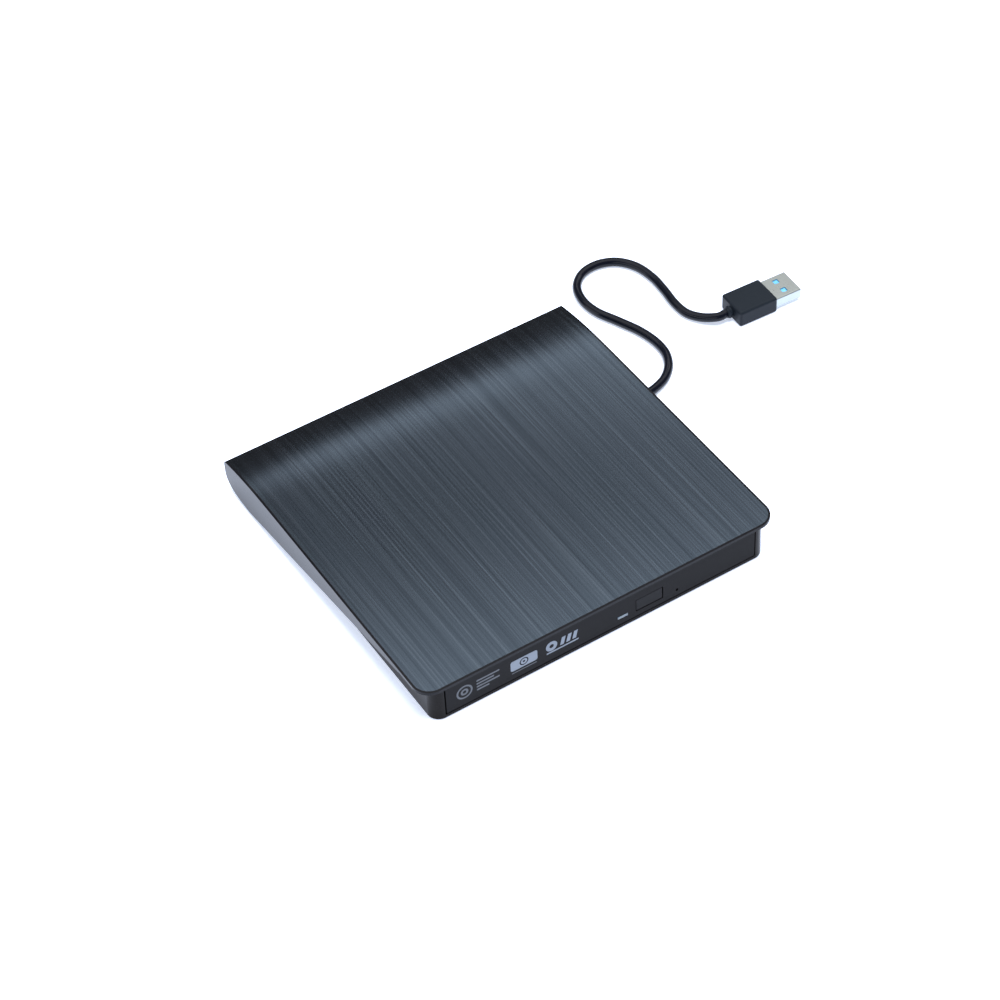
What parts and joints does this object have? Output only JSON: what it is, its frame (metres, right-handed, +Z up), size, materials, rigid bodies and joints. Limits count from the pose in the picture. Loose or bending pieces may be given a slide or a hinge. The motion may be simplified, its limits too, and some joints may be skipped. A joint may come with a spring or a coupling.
{
  "type": "external optical drive",
  "caption": "Slim external USB disc drive with a wedge-shaped brushed cover, a pull-out disc tray with an eject button, and a short captive USB cord with its plug.",
  "frame": {"origin": "on the table under the middle of the housing, without the cord and its plug", "axes": "+X to the right as seen from the bezel, the tray opens towards -Y, +Z up"},
  "size_m": [0.2323, 0.164, 0.0172],
  "materials": {
    "cover_black": "black ABS under a dark film with fine front-to-back brushed lines, metallic sheen, soft gloss",
    "case_gloss": "gloss black ABS",
    "bezel_satin": "fine-textured satin black ABS",
    "button_satin": "satin black ABS",
    "led_window": "translucent white light pipe",
    "foot_rubber": "matt black rubber",
    "screw_steel": "black-oxide screws",
    "zinc_sheet": "zinc-plated sheet steel",
    "ground_steel": "ground bright steel",
    "circuit_board": "green solder mask on glass-epoxy board",
    "chip_epoxy": "moulded black epoxy",
    "flex_film": "amber polyimide film",
    "cord_vinyl": "smooth glossy black PVC",
    "plug_vinyl": "fine-textured black PVC overmould",
    "plug_nickel": "nickel-plated steel shell",
    "plug_insulator": "blue moulded insulator",
    "tray_plastic": "fine-textured black ABS",
    "hub_plastic": "black acetal",
    "grommet_rubber": "soft black rubber",
    "die_cast_zinc": "raw die-cast alloy",
    "lens_glass": "coated aspheric lens"
  },
  "bodies": {
    "base": {"top_cover": "cover_black", "lower_case": "case_gloss", "foot_front_left": "foot_rubber", "foot_front_right": "foot_rubber", "foot_rear_left": "foot_rubber", "foot_rear_right": "foot_rubber", "case_screw_front_left": "screw_steel", "case_screw_front_right": "screw_steel", "case_screw_rear_left": "screw_steel", "case_screw_rear_right": "screw_steel", "chassis_pan": "zinc_sheet", "chassis_lid": "zinc_sheet", "main_board": "circuit_board", "drive_controller_chip": "chip_epoxy", "motor_driver_chip": "chip_epoxy", "drive_sata_socket": "chip_epoxy", "bridge_board": "circuit_board", "bridge_chip": "chip_epoxy", "bridge_sata_plug": "chip_epoxy", "flex_ribbon": "flex_film", "cord_strain_relief": "cord_vinyl", "usb_cord": "cord_vinyl", "plug_overmold": "plug_vinyl", "plug_shell": "plug_nickel", "plug_tongue": "plug_insulator"},
    "rail_left": {"slide_rail_left": "zinc_sheet"},
    "rail_right": {"slide_rail_right": "zinc_sheet"},
    "tray": {"disc_tray": "tray_plastic", "tray_undercover": "zinc_sheet", "tray_bezel": "bezel_satin", "activity_led_window": "led_window", "front_board": "circuit_board", "eject_switch": "chip_epoxy", "latch_solenoid": "chip_epoxy", "latch_pivot": "ground_steel", "eject_plunger": "hub_plastic", "eject_spring": "ground_steel", "traverse_frame": "zinc_sheet", "grommet_1": "grommet_rubber", "grommet_2": "grommet_rubber", "grommet_3": "grommet_rubber", "guide_rod_main": "ground_steel", "guide_rod_aux": "ground_steel", "sled_motor": "zinc_sheet", "spindle_motor_base": "circuit_board"},
    "button": {"eject_button": "button_satin"},
    "spindle": {"spindle_rotor": "ground_steel", "disc_pad": "grommet_rubber", "clamp_hub": "hub_plastic", "clamp_ball_1": "ground_steel", "clamp_ball_2": "ground_steel", "clamp_ball_3": "ground_steel"},
    "sled": {"pickup_sled": "die_cast_zinc"},
    "lens": {"lens_carrier": "hub_plastic", "objective_lens": "lens_glass"},
    "screw": {"lead_screw": "ground_steel"},
    "latch": {"latch_hook": "hub_plastic"}
  },
  "joints": [
    {"name": "tray_slide", "type": "slide", "parent": "base", "child": "tray", "axis": [0, -1, 0], "range_m": [0, 0.115]},
    {"name": "rail_left_slide", "type": "slide", "parent": "base", "child": "rail_left", "axis": [0, -1, 0], "range_m": [0, 0.0575]},
    {"name": "rail_right_slide", "type": "slide", "parent": "base", "child": "rail_right", "axis": [0, -1, 0], "range_m": [0, 0.0575]},
    {"name": "eject_button_press", "type": "slide", "parent": "tray", "child": "button", "axis": [0, 1, 0], "range_m": [0, 0.0006], "stiffness_N_per_m": 800},
    {"name": "spindle_spin", "type": "hinge", "parent": "tray", "child": "spindle", "pos_m": [0, -0.003, 0.008], "axis": [0, 0, 1], "continuous": true},
    {"name": "sled_travel", "type": "slide", "parent": "tray", "child": "sled", "axis": [-0.7071, -0.7071, 0], "range_m": [0, 0.033]},
    {"name": "lens_focus", "type": "slide", "parent": "sled", "child": "lens", "axis": [0, 0, 1], "range_m": [-0.0003, 0.0006], "stiffness_N_per_m": 120},
    {"name": "lead_screw_spin", "type": "hinge", "parent": "tray", "child": "screw", "pos_m": [-0.01556, -0.04458, 0.0061], "axis": [-0.7071, -0.7071, 0], "range_deg": [0, 3970]},
    {"name": "latch_swing", "type": "hinge", "parent": "tray", "child": "latch", "pos_m": [0.0472, -0.0506, 0.005], "axis": [0, 0, 1], "range_deg": [-10, 0], "stiffness_Nm_per_rad": 0.003}
  ],
  "couplings": [
    {"joint": "rail_left_slide", "follows": "tray_slide", "ratio": 0.5},
    {"joint": "rail_right_slide", "follows": "tray_slide", "ratio": 0.5},
    {"joint": "lead_screw_spin", "follows": "sled_travel", "rad_per_m": 2094.4}
  ]
}
